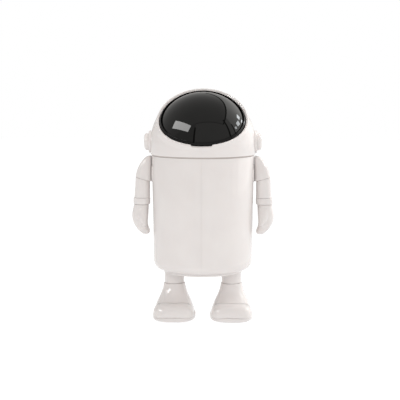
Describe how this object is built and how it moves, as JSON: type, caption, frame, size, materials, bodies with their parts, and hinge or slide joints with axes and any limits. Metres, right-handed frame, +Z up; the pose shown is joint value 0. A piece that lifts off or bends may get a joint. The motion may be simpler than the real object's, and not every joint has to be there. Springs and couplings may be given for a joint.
{
  "type": "astronaut-shaped waste bin",
  "caption": "White astronaut-shaped waste bin: cylinder body on booted legs, hanging arms, and a lift-off helmet lid with a black rocking visor flap.",
  "frame": {"origin": "on the floor, under the body's axis", "axes": "+Z up, the visor and toes face -Y, +X is the figure's left"},
  "size_m": [0.282, 0.21, 0.4556],
  "materials": {
    "body_white": "glossy warm white moulded plastic",
    "lid_white": "glossy warm white moulded plastic",
    "arm_white": "glossy warm white moulded plastic",
    "boot_white": "glossy warm white moulded plastic",
    "visor_black": "mirror-gloss black plastic",
    "visor_border_black": "satin black plastic",
    "bucket_grey": "matte grey plastic",
    "seam_ring_grey": "matte grey plastic",
    "foot_rubber": "fine-textured black rubber",
    "zinc_steel": "zinc-plated steel"
  },
  "bodies": {
    "bin_body": {"bin_body_shell": "body_white", "base_plate": "body_white", "inner_bucket": "bucket_grey", "left_leg_front_screw": "zinc_steel", "left_leg_back_screw": "zinc_steel", "left_leg": "boot_white", "left_boot": "boot_white", "left_toe_cap": "boot_white", "left_sole": "boot_white", "left_foot_pad": "foot_rubber", "right_leg_front_screw": "zinc_steel", "right_leg_back_screw": "zinc_steel", "right_leg": "boot_white", "right_boot": "boot_white", "right_toe_cap": "boot_white", "right_sole": "boot_white", "right_foot_pad": "foot_rubber"},
    "helmet_lid": {"helmet_shell": "lid_white", "visor_rim": "lid_white", "lid_locating_ring": "seam_ring_grey", "left_ear_base": "lid_white", "left_ear_cap": "lid_white", "left_visor_bearing": "lid_white", "right_ear_base": "lid_white", "right_ear_cap": "lid_white", "right_visor_bearing": "lid_white"},
    "visor": {"visor_frame": "visor_border_black", "visor_dome": "visor_black", "left_visor_pin": "zinc_steel", "right_visor_pin": "zinc_steel"},
    "left_arm": {"left_shoulder": "arm_white", "left_arm_pivot": "zinc_steel", "left_arm_clip": "zinc_steel", "left_sleeve": "arm_white", "left_cuff": "arm_white", "left_glove": "arm_white"},
    "right_arm": {"right_shoulder": "arm_white", "right_arm_pivot": "zinc_steel", "right_arm_clip": "zinc_steel", "right_sleeve": "arm_white", "right_cuff": "arm_white", "right_glove": "arm_white"}
  },
  "joints": [
    {"name": "lid_lift", "type": "slide", "parent": "bin_body", "child": "helmet_lid", "axis": [0, 0, 1], "range_m": [0, 0.2]},
    {"name": "visor_rock", "type": "hinge", "parent": "helmet_lid", "child": "visor", "pos_m": [0, -0.02309, 0.41195], "axis": [-1, 0, 0], "range_deg": [0, 75]},
    {"name": "left_arm_swing", "type": "hinge", "parent": "bin_body", "child": "left_arm", "pos_m": [0.1016, 0, 0.289], "axis": [-1, 0, 0], "range_deg": [-30, 90]},
    {"name": "right_arm_swing", "type": "hinge", "parent": "bin_body", "child": "right_arm", "pos_m": [-0.1016, 0, 0.289], "axis": [-1, 0, 0], "range_deg": [-30, 90]}
  ]
}
